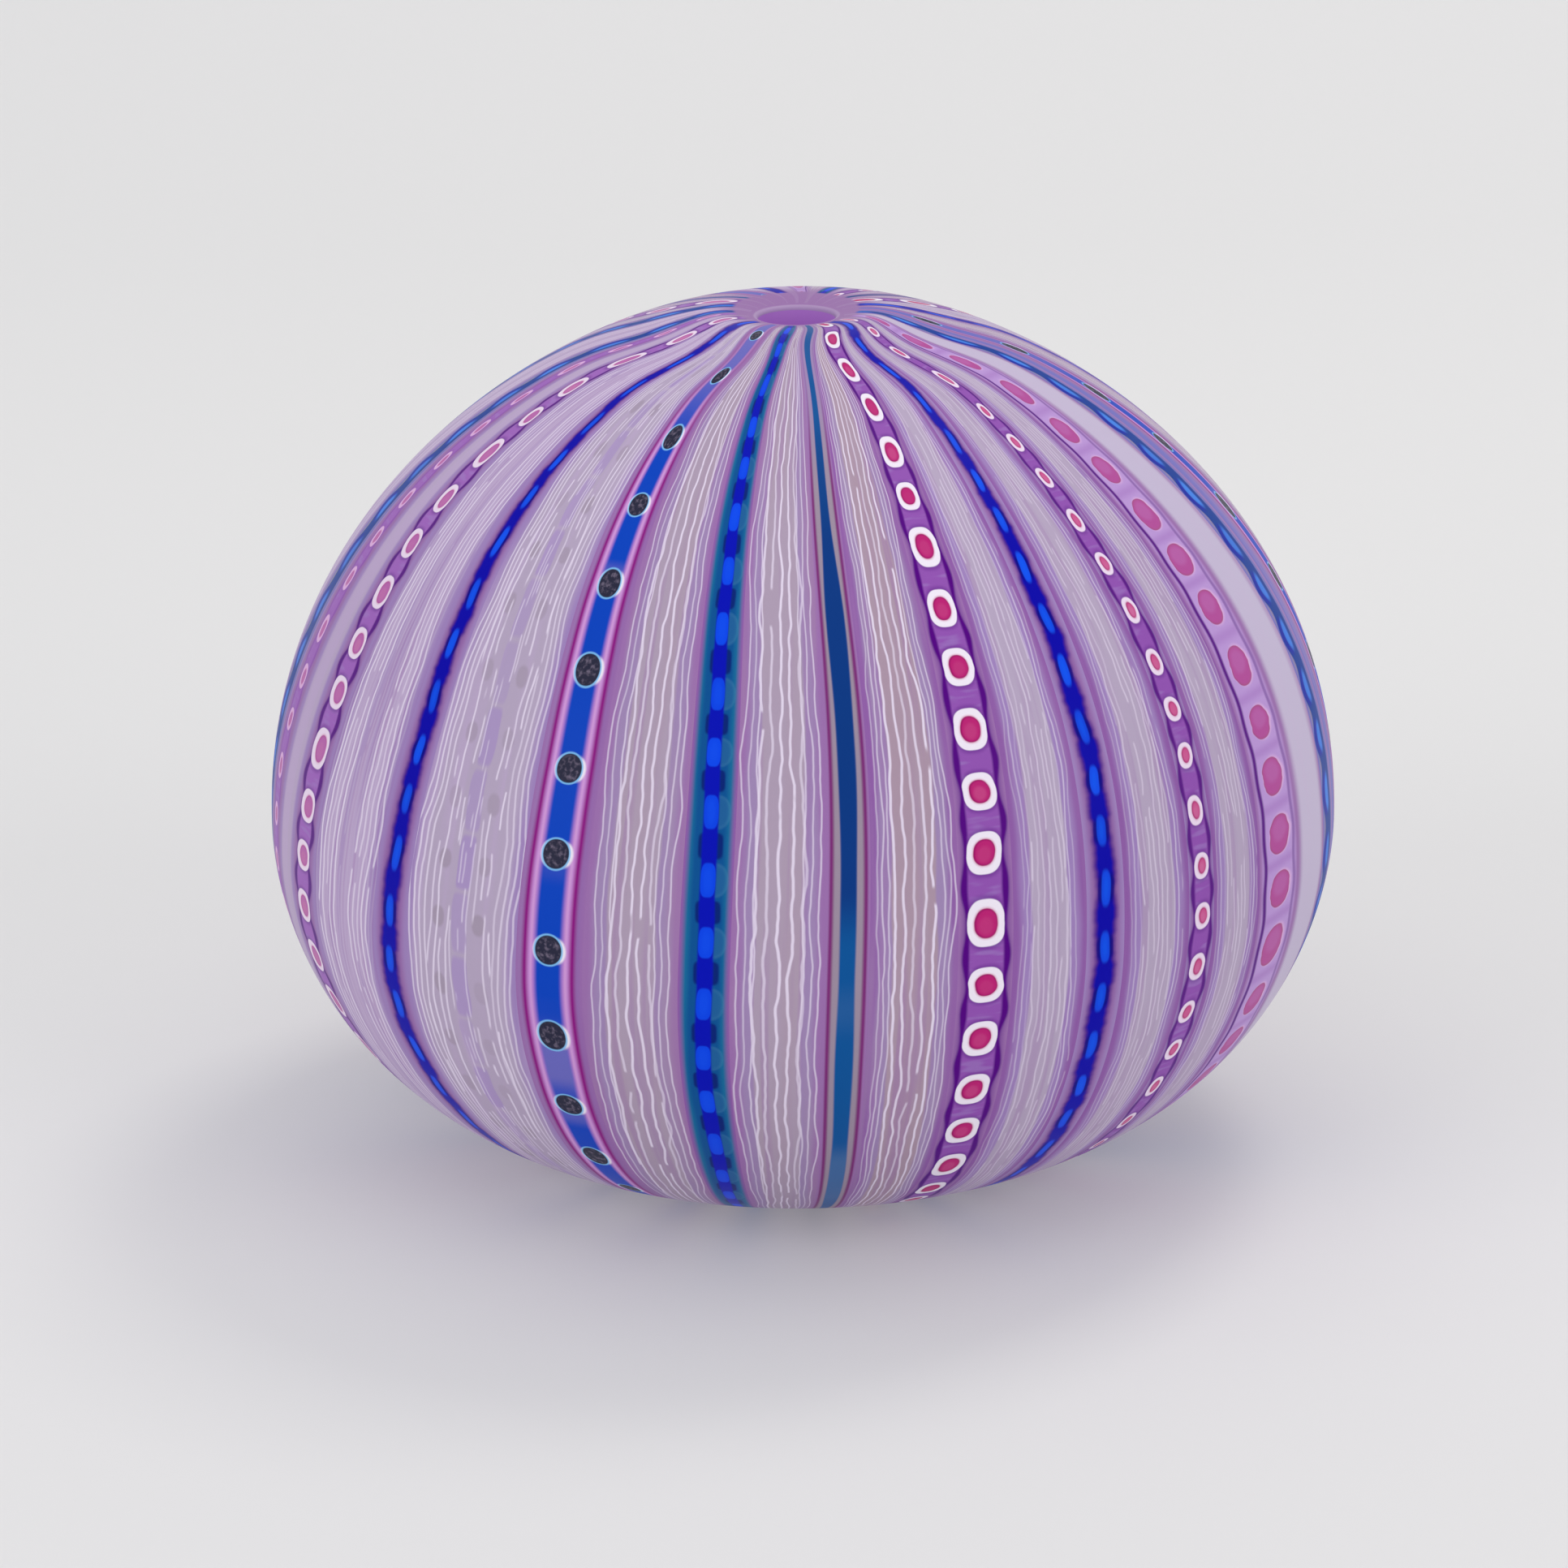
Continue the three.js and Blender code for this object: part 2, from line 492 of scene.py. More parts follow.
class Glass:
    """The node tree of one glass, laid on colour by colour from the deepest to the surface.

    Every cane carries its own map in millimetres: u across it, level with the widest part, and v
    along it from the mouth. across runs from -1 at its left edge to 1 at its right edge.
    """

    def __init__(self, name, colours):
        self.material = bpy.data.materials.new(name)
        self.material.use_nodes = True
        self.tree = self.material.node_tree
        self.tree.nodes.clear()
        self.colours = colours
        place = self.add("UVMap", uv_map="Marks")
        split = self.add("SeparateXYZ", place, whole=True)
        self.u, self.v = split.outputs[0], split.outputs[1]
        self.across = self.add("Attribute", out="Fac", attribute_name="across")
        self.colour = None

    def add(self, kind, *feeds, out=0, whole=False, at=None, **settings):
        """Add one node with its settings, and link or set its inputs in order, by number or by name."""
        node = self.tree.nodes.new("ShaderNode" + kind)
        for name, value in settings.items():
            setattr(node, name, value)
        wanted = dict(enumerate(feeds)) | (at or {})
        for key, feed in wanted.items():
            if isinstance(feed, bpy.types.NodeSocket):
                self.tree.links.new(feed, node.inputs[key])
            else:
                node.inputs[key].default_value = feed
        return node if whole else node.outputs[out]

    def paint(self, name):
        """A colour of the glass by its name, as a shader wants it."""
        return (*getattr(self.colours, name), 1)

    def mixed(self, under, over, share):
        """One colour over another, each a name, a colour or a link."""
        under, over = (self.paint(c) if isinstance(c, str) else c for c in (under, over))
        feeds = {0: share, 6: under, 7: over}
        return self.add("Mix", at=feeds, out=2, data_type="RGBA", clamp_factor=True)

    def lay(self, over, share):
        """Lay a colour over what is there."""
        self.colour = self.mixed(self.colour, over, share)

    def times(self, *factors):
        """The product of several values."""
        total = factors[0]
        for factor in factors[1:]:
            total = self.add("Math", total, factor, operation="MULTIPLY")
        return total

    def ramp(self, value, start, end, low=0.0, high=1.0):
        """A smooth step from low at start to high at end."""
        feeds = {0: value, 1: start, 2: end, 3: low, 4: high}
        return self.add("MapRange", at=feeds, interpolation_type="SMOOTHSTEP")

    def band(self, distance, half_width, soft):
        """1 within half a width of a line, falling smoothly to 0 over the soft edge."""
        size = self.add("Math", distance, operation="ABSOLUTE")
        if isinstance(half_width, bpy.types.NodeSocket):
            size = self.add("Math", size, half_width, operation="SUBTRACT")
            half_width = 0.0
        return self.ramp(size, half_width - soft / 2, half_width + soft / 2, 1.0, 0.0)

    def blob(self, x, y, half_x, half_y, power, soft):
        """1 inside a rounded shape: |x / half_x| ^ power + |y / half_y| ^ power under 1."""
        parts = []
        for value, half in ((x, half_x), (y, half_y)):
            size = self.add("Math", value, operation="ABSOLUTE")
            size = self.add("Math", size, half, operation="DIVIDE")
            parts.append(self.add("Math", size, power, operation="POWER"))
        total = self.add("Math", *parts, operation="ADD")
        size = self.add("Math", total, 1 / power, operation="POWER")
        edge = soft / min(half_x, half_y)
        return self.ramp(size, 1 - edge / 2, 1 + edge / 2, 1.0, 0.0)

    def noise(self, along, sideways, detail=1.0):
        """Smooth noise over two coordinates that are counted in its own wavelengths, 0 to 1."""
        place = self.add("CombineXYZ", along, sideways)
        feeds = {"Vector": place, "Scale": 1.0, "Detail": detail, "Roughness": 0.5}
        return self.add("TexNoise", at=feeds, noise_dimensions="2D")

    def waver(self, wavelength, amount, row, detail=1.0):
        """A sideways stray along the cane, up to about the amount each way, of its own for each row."""
        along = self.add("Math", self.v, wavelength, operation="DIVIDE")
        noise = self.noise(along, row, detail)
        return self.add("MapRange", at={0: noise, 1: 0.25, 2: 0.75, 3: -amount, 4: amount})

    def cells(self, value, pitch):
        """Which cell of a pitch a value is in, and how far it is from that cell's middle."""
        count = self.add("Math", value, pitch, operation="DIVIDE")
        number = self.add("Math", count, operation="ROUND")
        middle = self.add("Math", number, pitch, operation="MULTIPLY")
        return number, self.add("Math", value, middle, operation="SUBTRACT")

    def drawn(self, number, seed, low, high):
        """A value drawn for each cell between low and high."""
        key = self.add("Math", number, seed, operation="ADD")
        noise = self.add("TexWhiteNoise", at={"W": key}, noise_dimensions="1D")
        return self.add("MapRange", at={0: noise, 3: low, 4: high})

    def wave(self, pitch, mean, amount):
        """mean + amount cos(2 pi v / pitch)."""
        turns = self.add("Math", self.v, 2 * math.pi / pitch, operation="MULTIPLY")
        cosine = self.add("Math", turns, operation="COSINE")
        return self.add("Math", cosine, amount, mean, operation="MULTIPLY_ADD")

    def base(self, edge, middle, reach=0.75):
        """The deep colour of a cane: one colour at its edges, another down its middle."""
        size = self.add("Math", self.across, operation="ABSOLUTE")
        self.colour = self.mixed(middle, edge, self.ramp(size, 1 - reach, 1.0))

    def panel(self, haze, strip, middle):
        """The deep colour of a band: a flat panel, a strip on both sides of it, and haze at the edges."""
        stray = self.waver(9.0, 0.03, 71.5)
        moved = self.add("Math", self.across, stray, operation="ADD")
        size = self.add("Math", moved, operation="ABSOLUTE")
        self.colour = self.mixed(middle, strip, self.ramp(size, 0.47, 0.55))
        self.lay(haze, self.ramp(size, 0.68, 0.94))

    def streaks(self, colour, width, share, seed):
        """Long soft streaks along the cane, about the given width each."""
        sideways = self.add("Math", self.u, 1 / width, seed, operation="MULTIPLY_ADD")
        along = self.add("Math", self.v, 1 / 45, operation="MULTIPLY")
        noise = self.noise(along, sideways, 2.0)
        self.lay(colour, self.ramp(noise, 0.45, 0.72, 0.0, share))

    def threads(self, colour, spacing, half_width, reach, share, stray, gaps, seed):
        """Fine threads side by side, between two distances from the middle. They swell apart and draw
        together as one, each strays on its own, and each breaks off where its noise is low."""
        swell = self.add("Math", self.waver(17.0, 0.11, seed + 0.4), 1.0, operation="ADD")
        moved = self.times(self.u, swell)
        moved = self.add("Math", moved, self.waver(13.0, 0.2, seed + 2.4), operation="ADD")
        number, offset = self.cells(moved, spacing)
        row = self.add("Math", number, 7.31, seed, operation="MULTIPLY_ADD")
        distance = self.add("Math", offset, self.waver(6.0, stray, row, 2.0), operation="SUBTRACT")
        thread = self.band(distance, half_width, 0.16)
        middle = self.add("Math", number, operation="ABSOLUTE")
        first, last = (distance / spacing for distance in reach)
        middle = self.add("Math", middle, (first + last) / 2, operation="SUBTRACT")
        inside = self.band(middle, (last - first) / 2, 0.02)
        along = self.add("Math", self.v, 1 / 9, operation="MULTIPLY")
        other_row = self.add("Math", row, 3.7, operation="ADD")
        unbroken = self.ramp(self.noise(along, other_row), gaps - 0.015, gaps + 0.015)
        strength = self.drawn(number, seed, 0.6 * share, share)
        self.lay(colour, self.times(thread, unbroken, strength, inside))

    def from_axis(self, place, behind):
        """The distance in metres from an upright line, which lies so far behind the middle."""
        split = self.add("SeparateXYZ", place, whole=True)
        y = self.add("Math", split.outputs[1], behind, operation="SUBTRACT")
        squares = [self.times(value, value) for value in (split.outputs[0], y)]
        return self.add("Math", self.add("Math", *squares, operation="ADD"), operation="SQRT")

    def finish(self, fade=None):
        """Fade into the plain gather near the mouth, if told how, then make the surface: acid-etched
        glass, ground matt where it stands. The etch scatters nearly all of the mirror light, which
        leaves a satin skin with hardly a highlight and a pale bloom at a low angle. Its grain is about
        0.05 mm wide and is drawn 0.4 mm wide, as fine as can be seen."""
        place = self.add("TexCoord", out="Object")
        split = self.add("SeparateXYZ", place, whole=True)
        if fade:
            high = self.ramp(split.outputs[2], WIDEST_LEVEL, WIDEST_LEVEL + FADE_DEPTH)
            gather = self.from_axis(place, GATHER_BEHIND)
            near = self.ramp(gather, fade.end * MM, fade.start * MM, fade.share, 0.0)
            self.lay("collar", self.times(near, high))
        grain = self.add("TexNoise", at={"Vector": place, "Scale": 1 / GRAIN_WIDTH, "Detail": 2})
        cloud = self.add("TexNoise", at={"Vector": place, "Scale": CLOUD_SCALE, "Detail": 3})
        ground = self.ramp(split.outputs[2], FOOT_LEVEL + 0.02 * MM, FOOT_LEVEL + 0.2 * MM, 0.25, 0.0)
        satin = self.add("MapRange", at={0: cloud, 1: 0.3, 2: 0.7, 3: 0.38, 4: 0.48})
        roughness = self.add("Math", satin, ground, operation="ADD")
        bump = self.add("Bump", at={"Strength": 0.15, "Distance": GRAIN_DEPTH, "Height": grain})
        shader = self.add(
            "BsdfPrincipled",
            at={
                "Base Color": self.colour,
                "Roughness": roughness,
                "Normal": bump,
                "IOR": GLASS_IOR,
                "Specular IOR Level": 0.05,
                "Sheen Weight": 0.05,
                "Sheen Roughness": 0.3,
                "Sheen Tint": (0.9, 0.88, 1.0, 1.0),
            },
        )
        self.add("OutputMaterial", shader, whole=True)
        return self.material


def mauve_lines_glass(colours):
    """A grey-mauve panel under five white threads, with lilac strips beside it under finer ones."""
    glass = Glass("blown_mauve_thread_glass", colours)
    glass.panel("orchid", "heather", "greige")
    glass.streaks("rose_grey", width=2.8, share=0.3, seed=11.0)
    glass.streaks("orchid", width=1.1, share=0.35, seed=3.0)
    glass.threads("thread", spacing=0.85, half_width=0.09, reach=(2.5, 4.3), share=0.8,
                  stray=0.16, gaps=0.25, seed=5.0)
    glass.threads("thread", spacing=1.15, half_width=0.14, reach=(-0.1, 2.4), share=1.0,
                  stray=0.3, gaps=0.28, seed=2.0)
    return glass.finish(BAND_FADE)


def rose_lines_glass(colours):
    """The same with a pinkish panel and closer threads."""
    glass = Glass("blown_rose_thread_glass", colours)
    glass.panel("purple", "heather", "rose_grey")
    glass.streaks("greige", width=1.8, share=0.3, seed=7.0)
    glass.streaks("orchid", width=1.3, share=0.45, seed=4.0)
    glass.threads("thread", spacing=0.55, half_width=0.08, reach=(2.6, 3.9), share=0.7,
                  stray=0.14, gaps=0.22, seed=8.0)
    glass.threads("thread", spacing=1.05, half_width=0.14, reach=(-0.1, 2.3), share=1.0,
                  stray=0.27, gaps=0.28, seed=4.0)
    return glass.finish(BAND_FADE)


def soft_lines_glass(colours):
    """A panel whose threads lie a little deeper, so they read fainter, between brighter outer ones."""
    glass = Glass("blown_pale_thread_glass", colours)
    glass.panel("purple", "lavender", "dove")
    glass.streaks("orchid", width=1.2, share=0.3, seed=13.0)
    glass.threads("thread", spacing=0.55, half_width=0.08, reach=(2.2, 3.3), share=0.7,
                  stray=0.13, gaps=0.25, seed=2.0)
    glass.threads("thread", spacing=0.66, half_width=0.1, reach=(-0.1, 2.1), share=0.55,
                  stray=0.18, gaps=0.4, seed=6.0)
    return glass.finish(BAND_FADE)


def fine_lines_glass(colours):
    """Close, smooth threads over lilac, brighter away from the middle."""
    glass = Glass("blown_fine_thread_glass", colours)
    glass.base("lavender", "bloom", 0.4)
    glass.streaks("lavender", width=1.5, share=0.5, seed=17.0)
    glass.streaks("orchid", width=0.6, share=0.35, seed=27.0)
    glass.threads("mist_and_lip_highlight", spacing=0.62, half_width=0.12, reach=(-0.1, 6.0), share=0.5,
                  stray=0.12, gaps=0.3, seed=3.0)
    glass.threads("thread", spacing=0.87, half_width=0.14, reach=(1.3, 5.4), share=0.95,
                  stray=0.16, gaps=0.3, seed=8.0)
    return glass.finish(BAND_FADE)


def dashes_glass(colours):
    """Short white dashes, a broken lilac stripe down the middle, dull spots beside it, and whole
    threads at the sides."""
    glass = Glass("blown_dashed_thread_glass", colours)
    glass.base("lavender", "dove", 0.3)
    glass.streaks("bloom", width=2.6, share=0.6, seed=19.0)
    number, offset = glass.cells(glass.v, 6.9)
    moved = glass.add("Math", glass.u, glass.waver(9.0, 0.4, 21.5), operation="ADD")
    for side in (-2.9, 2.6):
        beside = glass.add("Math", moved, side, operation="SUBTRACT")
        dull = glass.drawn(number, 5.0 + side, 0.2, 0.6)
        glass.lay("ash", glass.times(glass.blob(beside, offset, 0.85, 1.15, 2.3, 0.35), dull))
    strength = glass.drawn(number, 3.0, 0.25, 0.6)
    glass.lay("lilac", glass.times(glass.blob(moved, offset, 1.05, 3.2, 6.0, 0.25), strength))
    glass.threads("thread", spacing=0.5, half_width=0.1, reach=(-0.1, 1.1), share=0.7,
                  stray=0.1, gaps=0.52, seed=12.0)
    glass.threads("thread", spacing=0.85, half_width=0.13, reach=(1.6, 5.0), share=0.9,
                  stray=0.14, gaps=0.47, seed=10.0)
    glass.threads("thread", spacing=0.75, half_width=0.12, reach=(4.4, 6.8), share=0.9,
                  stray=0.12, gaps=0.2, seed=14.0)
    return glass.finish(BAND_FADE)


def pale_glass(colours):
    """Plain lilac glass with hardly a streak."""
    glass = Glass("blown_lilac_glass", colours)
    glass.base("lavender", "bloom", 0.42)
    glass.streaks("dove", width=2.2, share=0.4, seed=23.0)
    return glass.finish(BAND_FADE)


def milky_glass(colours):
    """Plain milky lavender glass, the palest band of all."""
    glass = Glass("blown_milky_lavender_glass", colours)
    glass.base("orchid", "opal", 0.38)
    glass.streaks("mist_and_lip_highlight", width=2.2, share=0.4, seed=23.0)
    return glass.finish(BAND_FADE)


def violet_glass(colours):
    """Plain violet-blue glass."""
    glass = Glass("blown_violet_glass", colours)
    glass.base("orchid", "iris", 0.7)
    glass.streaks("lavender", width=1.2, share=0.5, seed=29.0)
    return glass.finish(VIOLET_FADE)


def cobalt_bead_glass(colours):
    """A cobalt stripe with bright beads, sunk a little way, so that its ragged edges blur into purple."""
    glass = Glass("fused_cobalt_bead_cane", colours)
    pitch = 5.9
    glass.base("lavender", "orchid", 0.5)
    number, offset = glass.cells(glass.v, pitch)
    moved = glass.add("Math", glass.u, glass.waver(6.0, 0.25, 31.5), operation="ADD")
    half = glass.wave(pitch, 0.96, -0.1)
    ragged = glass.add("Math", half, glass.waver(1.3, 0.14, 33.5), operation="ADD")
    wider = glass.add("Math", ragged, 0.4, operation="ADD")
    glass.lay("grape", glass.times(glass.band(moved, 1.7, 1.3), 0.3))
    glass.lay("plum_blue", glass.times(glass.band(moved, wider, 0.8), 0.9))
    glass.lay("cobalt", glass.band(moved, ragged, 0.5))
    side = glass.add("Math", moved, operation="ABSOLUTE")
    side = glass.add("Math", side, 0.75, operation="SUBTRACT")
    patch = glass.blob(side, offset, 0.32, 1.25, 2.5, 0.25)
    glass.lay("navy", glass.times(patch, 0.8))
    bright = glass.drawn(number, 7.0, 0.75, 1.0)
    glass.lay("bright_blue", glass.times(glass.blob(moved, offset, 0.6, 1.7, 2.6, 0.22), bright))
    glass.lay("sky_blue", glass.times(glass.blob(moved, offset, 0.28, 1.0, 2.0, 0.3), 0.35))
    return glass.finish(BEAD_FADE)


def teal_bead_glass(colours):
    """Bright blue beads in a dark blue column, with clear teal glass on both sides of it that shows
    pale rings beside the beads and dark patches between them."""
    glass = Glass("fused_teal_bead_cane", colours)
    pitch = 6.6
    glass.base("purple", "teal", 0.3)
    number, offset = glass.cells(glass.v, pitch)
    moved = glass.add("Math", glass.u, glass.waver(11.0, 0.15, 37.5), operation="ADD")
    glass.lay("deep_teal", glass.band(moved, 1.8, 0.8))
    cell = glass.add("Math", moved, 0.7, operation="SUBTRACT")
    glass.lay("pale_teal", glass.times(glass.blob(cell, offset, 1.45, 1.7, 2.2, 0.3), 0.3))
    glass.lay("deep_teal", glass.times(glass.blob(cell, offset, 1.25, 1.5, 2.2, 0.5), 0.5))
    count = glass.add("Math", glass.v, 1 / pitch, 0.5, operation="MULTIPLY_ADD")
    half_turn = glass.times(glass.add("Math", count, operation="ROUND"), pitch)
    between = glass.add("Math", glass.v, half_turn, operation="SUBTRACT")
    between = glass.add("Math", between, pitch / 2, operation="ADD")
    aside = glass.add("Math", moved, 0.12, operation="SUBTRACT")
    glass.lay("night", glass.times(glass.blob(aside, between, 1.35, 1.25, 5.0, 0.3), 0.8))
    glass.lay("ultramarine", glass.band(moved, 0.85, 0.35))
    bright = glass.drawn(number, 9.0, 0.85, 1.0)
    glass.lay("bead_blue", glass.times(glass.blob(moved, offset, 0.8, 1.7, 3.2, 0.12), bright))
    glass.lay("bright_blue", glass.times(glass.blob(moved, offset, 0.45, 1.2, 2.4, 0.4), 0.5))
    return glass.finish(BEAD_FADE)


def sea_bead_glass(colours):
    """A wavy sea-blue stripe whose beads are dark on one side and carry a painted highlight on the other.
    """
    glass = Glass("fused_sea_bead_cane", colours)
    pitch = 6.2
    glass.base("iris", "ash", 0.6)
    number, offset = glass.cells(glass.v, pitch)
    moved = glass.add("Math", glass.u, glass.wave(pitch, 0.0, -0.3), operation="SUBTRACT")
    glass.lay("sea_blue", glass.band(moved, glass.wave(pitch, 2.05, 0.25), 0.5))
    left = glass.add("Math", moved, 0.7, operation="ADD")
    glass.lay("cobalt", glass.times(glass.blob(left, offset, 1.4, 2.2, 2.2, 0.6), 0.7))
    # Painted highlight: pale blue laid a little right of the middle of each bead.
    lit = glass.add("Math", moved, 0.15, operation="SUBTRACT")
    bright = glass.drawn(number, 11.0, 0.75, 1.0)
    glass.lay("bead_highlight_blue", glass.times(glass.blob(lit, offset, 0.9, 1.8, 2.2, 0.6), bright))
    return glass.finish(STRIPE_FADE)


def azure_glass(colours):
    """A plain blue stripe between grey margins and plum threads; its blue drifts along it."""
    glass = Glass("fused_azure_cane", colours)
    glass.base("orchid", "rose_grey", 0.5)
    half = glass.add("Math", glass.waver(30.0, 0.3, 41.5), 0.92, operation="ADD")
    glass.lay("orchid", glass.times(glass.band(glass.u, 2.5, 0.6), 0.6))
    edge = glass.add("Math", glass.u, operation="ABSOLUTE")
    edge = glass.add("Math", edge, 1.75, operation="SUBTRACT")
    glass.lay("plum", glass.times(glass.band(edge, 0.28, 0.3), 0.85))
    glass.lay("ash", glass.times(glass.band(glass.u, 1.6, 0.45), 0.9))
    glass.lay("lavender", glass.ramp(glass.v, 40.0, 18.0, 0.0, 0.7))
    blue = glass.band(glass.u, half, 0.3)
    drift = glass.noise(glass.add("Math", glass.v, 1 / 34, operation="MULTIPLY"), 43.5)
    glass.lay("azure", blue)
    glass.lay("midnight", glass.times(blue, glass.ramp(drift, 0.5, 0.7), 0.8))
    glass.lay("steel_blue", glass.times(blue, glass.ramp(drift, 0.42, 0.3), 0.8))
    return glass.finish(STRIPE_FADE)


class Dots(NamedTuple):
    """What sets one dotted cane apart: colour names, and sizes in mm. A ring and a core each have half
    their width, half their length and the power of their rounded shape."""

    name: str
    beside: tuple
    fill: str
    edge: str
    ring_colour: str
    core_colours: tuple
    pitch: float
    fill_half: float
    edge_half: float
    scallop: float
    ring: tuple
    core: tuple
    core_aside: float


RED_DOTS = Dots(
    name="fused_red_dot_cane",
    beside=("orchid", "purple"),
    fill="violet",
    edge="deep_purple",
    ring_colour="milk_and_highlight",
    core_colours=("wine", "crimson", "pink"),
    pitch=6.72,
    fill_half=2.2,
    edge_half=0.36,
    scallop=-0.12,
    ring=(2.0, 2.2, 2.7),
    core=(1.26, 1.38, 2.2),
    core_aside=0.0,
)
PINK_DOTS = Dots(
    name="fused_pink_dot_cane",
    beside=("lavender", "orchid"),
    fill="pale_violet",
    edge="grape",
    ring_colour="rose_milk",
    core_colours=("rose", "mauve_rose", "pale_rose"),
    pitch=6.2,
    fill_half=1.9,
    edge_half=0.42,
    scallop=-0.4,
    ring=(1.95, 1.95, 2.5),
    core=(1.2, 1.3, 2.1),
    core_aside=0.2,
)
SMALL_DOTS = PINK_DOTS._replace(
    name="fused_small_dot_cane",
    fill="violet",
    core_colours=("wine", "pink", "pale_rose"),
    pitch=5.65,
    fill_half=1.4,
    edge_half=0.3,
    scallop=-0.16,
    ring=(1.2, 1.48, 2.3),
    core=(0.64, 0.9, 2.0),
    core_aside=0.06,
)
DEEP_DOTS = SMALL_DOTS._replace(
    name="fused_sunk_dot_cane",
    fill="pale_violet",
    edge="violet",
    ring_colour="pink_milk_and_highlight",
    core_colours=("mauve_rose", "mauve_rose", "pale_rose"),
)


def ringed_dot_glass(colours, dots):
    """A violet stripe with dark scalloped edges and a row of dots, each a white ring with a red core."""
    glass = Glass(dots.name, colours)
    glass.base(*dots.beside, 0.35)
    number, offset = glass.cells(glass.v, dots.pitch)
    moved = glass.add("Math", glass.u, glass.waver(5.0, 0.12, 47.5), operation="ADD")
    size = glass.add("Math", moved, operation="ABSOLUTE")
    outline = glass.wave(dots.pitch, dots.fill_half, dots.scallop)
    edge = glass.add("Math", size, outline, operation="SUBTRACT")
    glass.lay(dots.edge, glass.times(glass.band(edge, dots.edge_half + 0.2, 0.9), 0.3))
    glass.lay(dots.fill, glass.ramp(edge, 0.3, -0.3))
    sideways = glass.add("Math", glass.u, 0.25, 51.5, operation="MULTIPLY_ADD")
    glow = glass.noise(glass.add("Math", glass.v, 1.2, operation="MULTIPLY"), sideways)
    glass.lay("lilac", glass.times(glass.ramp(edge, -0.2, -0.6), glass.ramp(glow, 0.5, 0.75), 0.4))
    half = glass.wave(dots.pitch, 0.8 * dots.edge_half, -0.3 * dots.edge_half)
    glass.lay(dots.edge, glass.band(edge, half, 0.4))
    grown = glass.drawn(number, 13.0, 0.94, 1.06)
    x, y = (glass.add("Math", value, grown, operation="DIVIDE") for value in (moved, offset))
    x = glass.add("Math", x, glass.waver(1.8, 0.07, 53.5), operation="ADD")
    half_x, half_y, power = dots.ring
    shade = glass.blob(x, y, half_x + 0.2, half_y + 0.3, power, 0.6)
    glass.lay(dots.edge, glass.times(shade, 0.5))
    glass.lay(dots.ring_colour, glass.blob(x, y, half_x, half_y, power, 0.14))
    x = glass.add("Math", x, dots.core_aside, operation="SUBTRACT")
    half_x, half_y, power = dots.core
    rim, middle, light = dots.core_colours
    glass.lay(light, glass.times(glass.blob(x, y, half_x + 0.12, half_y + 0.12, power, 0.3), 0.5))
    glass.lay(rim, glass.blob(x, y, half_x, half_y, power, 0.14))
    lit_x = glass.add("Math", x, 0.06, operation="SUBTRACT")
    glass.lay(middle, glass.blob(lit_x, y, 0.88 * half_x, 0.9 * half_y, power, 0.3))
    lower = glass.add("Math", y, 0.15 * half_y, operation="SUBTRACT")
    spot = glass.blob(x, lower, 0.6 * half_x, 0.6 * half_y, 2.0, 0.5)
    glass.lay(light, glass.times(spot, glass.drawn(number, 15.0, 0.1, 0.6)))
    return glass.finish(STRIPE_FADE)


def red_dot_glass(colours):
    """Opaque white rings with crimson cores."""
    return ringed_dot_glass(colours, RED_DOTS)


def pink_dot_glass(colours):
    """The same, smaller and pinker, with deeper scallops."""
    return ringed_dot_glass(colours, PINK_DOTS)


def small_dot_glass(colours):
    """The smallest dots, in a narrow violet stripe."""
    return ringed_dot_glass(colours, SMALL_DOTS)


def deep_dot_glass(colours):
    """The smallest dots again, sunk deeper, so that the lilac above them veils their colours."""
    return ringed_dot_glass(colours, DEEP_DOTS)


def lilac_dot_glass(colours):
    """Large rose dots, a little faceted, in a wide lilac stripe with a thin dark edge on each side."""
    glass = Glass("fused_rose_dot_cane", colours)
    pitch = 6.4
    glass.base("orchid", "light_lilac", 0.25)
    number, offset = glass.cells(glass.v, pitch)
    size = glass.add("Math", glass.u, operation="ABSOLUTE")
    edge = glass.add("Math", size, glass.wave(pitch, 3.5, 0.12), operation="SUBTRACT")
    glass.lay("light_lilac", glass.ramp(edge, 0.2, -0.3))
    shade = glass.add("Math", offset, operation="ABSOLUTE")
    glass.lay("violet", glass.times(glass.ramp(shade, 2.2, 3.2), glass.ramp(edge, 0.0, -0.8), 0.3))
    side = glass.ramp(glass.u, -0.5, 0.5, 1.0, 0.55)
    glass.lay("grape", glass.times(glass.band(edge, 0.36, 0.5), side))
    x = glass.add("Math", glass.u, glass.waver(1.3, 0.16, 57.5), operation="ADD")
    grown = glass.drawn(number, 17.0, 0.92, 1.08)
    x, y = (glass.add("Math", value, grown, operation="DIVIDE") for value in (x, offset))
    # Partly the thin pale outline of each dot and partly a painted highlight, a pale lens on its right.
    beside = glass.add("Math", x, 0.25, operation="SUBTRACT")
    glass.lay("pink_milk_and_highlight", glass.times(glass.blob(beside, y, 2.6, 2.2, 2.0, 0.6), 0.8))
    glass.lay("wine", glass.times(glass.blob(x, y, 2.3, 2.1, 2.3, 0.12), 0.8))
    glass.lay("rose", glass.blob(x, y, 2.12, 1.92, 2.2, 0.4))
    upper = glass.add("Math", y, 0.5, operation="ADD")
    glass.lay("mauve_rose", glass.times(glass.blob(x, upper, 1.6, 1.2, 2.0, 0.8), 0.6))
    return glass.finish(ROSE_DOT_FADE)


